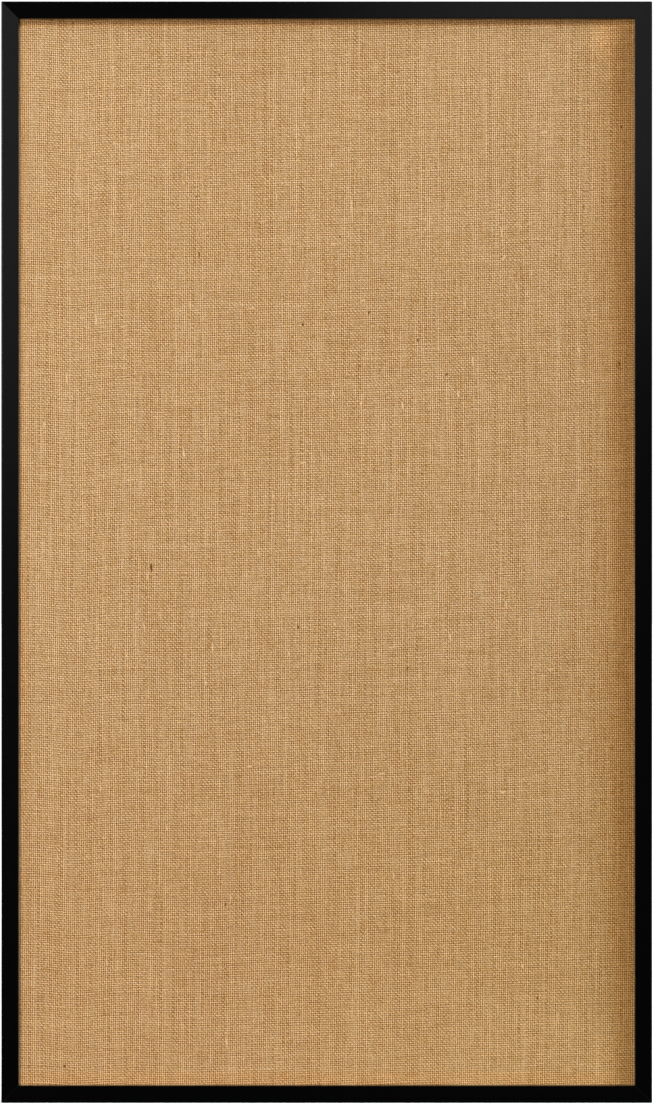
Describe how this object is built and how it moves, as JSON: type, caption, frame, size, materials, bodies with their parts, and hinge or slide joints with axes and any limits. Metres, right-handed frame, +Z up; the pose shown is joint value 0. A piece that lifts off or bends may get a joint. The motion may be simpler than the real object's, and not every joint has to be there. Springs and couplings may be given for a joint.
{
  "type": "bulletin board",
  "caption": "Tall wall bulletin board: a slim black mitred frame round a burlap-covered cork panel, with turn buttons, strap hangers and rubber bumpers behind.",
  "frame": {"origin": "on the wall plane, midway between the two strap hangers and level with the hinges of their D-rings", "axes": "+X to the right seen from the front, +Y towards the wall behind, +Z up; the pinning face looks along -Y"},
  "size_m": [0.6604, 0.033, 1.1176],
  "materials": {
    "rail_black": "satin",
    "burlap": "matte",
    "cork": "matte",
    "fibreboard": "matte",
    "zinc_steel": "satin",
    "bumper_rubber": "matte"
  },
  "bodies": {
    "board": {"frame_rail_top": "rail_black", "frame_rail_right": "rail_black", "frame_rail_bottom": "rail_black", "frame_rail_left": "rail_black", "v_nail_top_right_1": "zinc_steel", "v_nail_top_right_2": "zinc_steel", "v_nail_bottom_right_1": "zinc_steel", "v_nail_bottom_right_2": "zinc_steel", "v_nail_bottom_left_1": "zinc_steel", "v_nail_bottom_left_2": "zinc_steel", "v_nail_top_left_1": "zinc_steel", "v_nail_top_left_2": "zinc_steel", "burlap_cover": "burlap", "cork_sheet": "cork", "fibreboard_core": "fibreboard", "turn_button_screw_left_upper": "zinc_steel", "turn_button_screw_left_middle": "zinc_steel", "turn_button_screw_left_lower": "zinc_steel", "turn_button_screw_right_upper": "zinc_steel", "turn_button_screw_right_middle": "zinc_steel", "turn_button_screw_right_lower": "zinc_steel", "turn_button_screw_top": "zinc_steel", "turn_button_screw_bottom": "zinc_steel", "hanger_strap_left": "zinc_steel", "hanger_strap_right": "zinc_steel", "hanger_screw_left_1": "zinc_steel", "hanger_screw_left_2": "zinc_steel", "hanger_screw_right_1": "zinc_steel", "hanger_screw_right_2": "zinc_steel", "wall_bumper_top_left": "bumper_rubber", "wall_bumper_top_right": "bumper_rubber", "wall_bumper_bottom_left": "bumper_rubber", "wall_bumper_bottom_right": "bumper_rubber"},
    "button_left_upper": {"turn_button_left_upper": "zinc_steel"},
    "button_left_middle": {"turn_button_left_middle": "zinc_steel"},
    "button_left_lower": {"turn_button_left_lower": "zinc_steel"},
    "button_right_upper": {"turn_button_right_upper": "zinc_steel"},
    "button_right_middle": {"turn_button_right_middle": "zinc_steel"},
    "button_right_lower": {"turn_button_right_lower": "zinc_steel"},
    "button_top": {"turn_button_top": "zinc_steel"},
    "button_bottom": {"turn_button_bottom": "zinc_steel"},
    "ring_left": {"hanger_ring_left": "zinc_steel"},
    "ring_right": {"hanger_ring_right": "zinc_steel"}
  },
  "joints": [
    {"name": "turn_left_upper", "type": "hinge", "parent": "board", "child": "button_left_upper", "pos_m": [-0.32395, -0.0047, 0.08], "axis": [0, 1, 0], "continuous": true},
    {"name": "turn_left_middle", "type": "hinge", "parent": "board", "child": "button_left_middle", "pos_m": [-0.32395, -0.0047, -0.2888], "axis": [0, 1, 0], "continuous": true},
    {"name": "turn_left_lower", "type": "hinge", "parent": "board", "child": "button_left_lower", "pos_m": [-0.32395, -0.0047, -0.6576], "axis": [0, 1, 0], "continuous": true},
    {"name": "turn_right_upper", "type": "hinge", "parent": "board", "child": "button_right_upper", "pos_m": [0.32395, -0.0047, 0.08], "axis": [0, 1, 0], "continuous": true},
    {"name": "turn_right_middle", "type": "hinge", "parent": "board", "child": "button_right_middle", "pos_m": [0.32395, -0.0047, -0.2888], "axis": [0, 1, 0], "continuous": true},
    {"name": "turn_right_lower", "type": "hinge", "parent": "board", "child": "button_right_lower", "pos_m": [0.32395, -0.0047, -0.6576], "axis": [0, 1, 0], "continuous": true},
    {"name": "turn_top", "type": "hinge", "parent": "board", "child": "button_top", "pos_m": [0, -0.0047, 0.26375], "axis": [0, 1, 0], "continuous": true},
    {"name": "turn_bottom", "type": "hinge", "parent": "board", "child": "button_bottom", "pos_m": [0, -0.0047, -0.84135], "axis": [0, 1, 0], "continuous": true},
    {"name": "swing_left", "type": "hinge", "parent": "board", "child": "ring_left", "pos_m": [-0.32375, -0.00245, 0], "axis": [1, 0, 0], "range_deg": [0, 180]},
    {"name": "swing_right", "type": "hinge", "parent": "board", "child": "ring_right", "pos_m": [0.32375, -0.00245, 0], "axis": [1, 0, 0], "range_deg": [0, 180]}
  ]
}
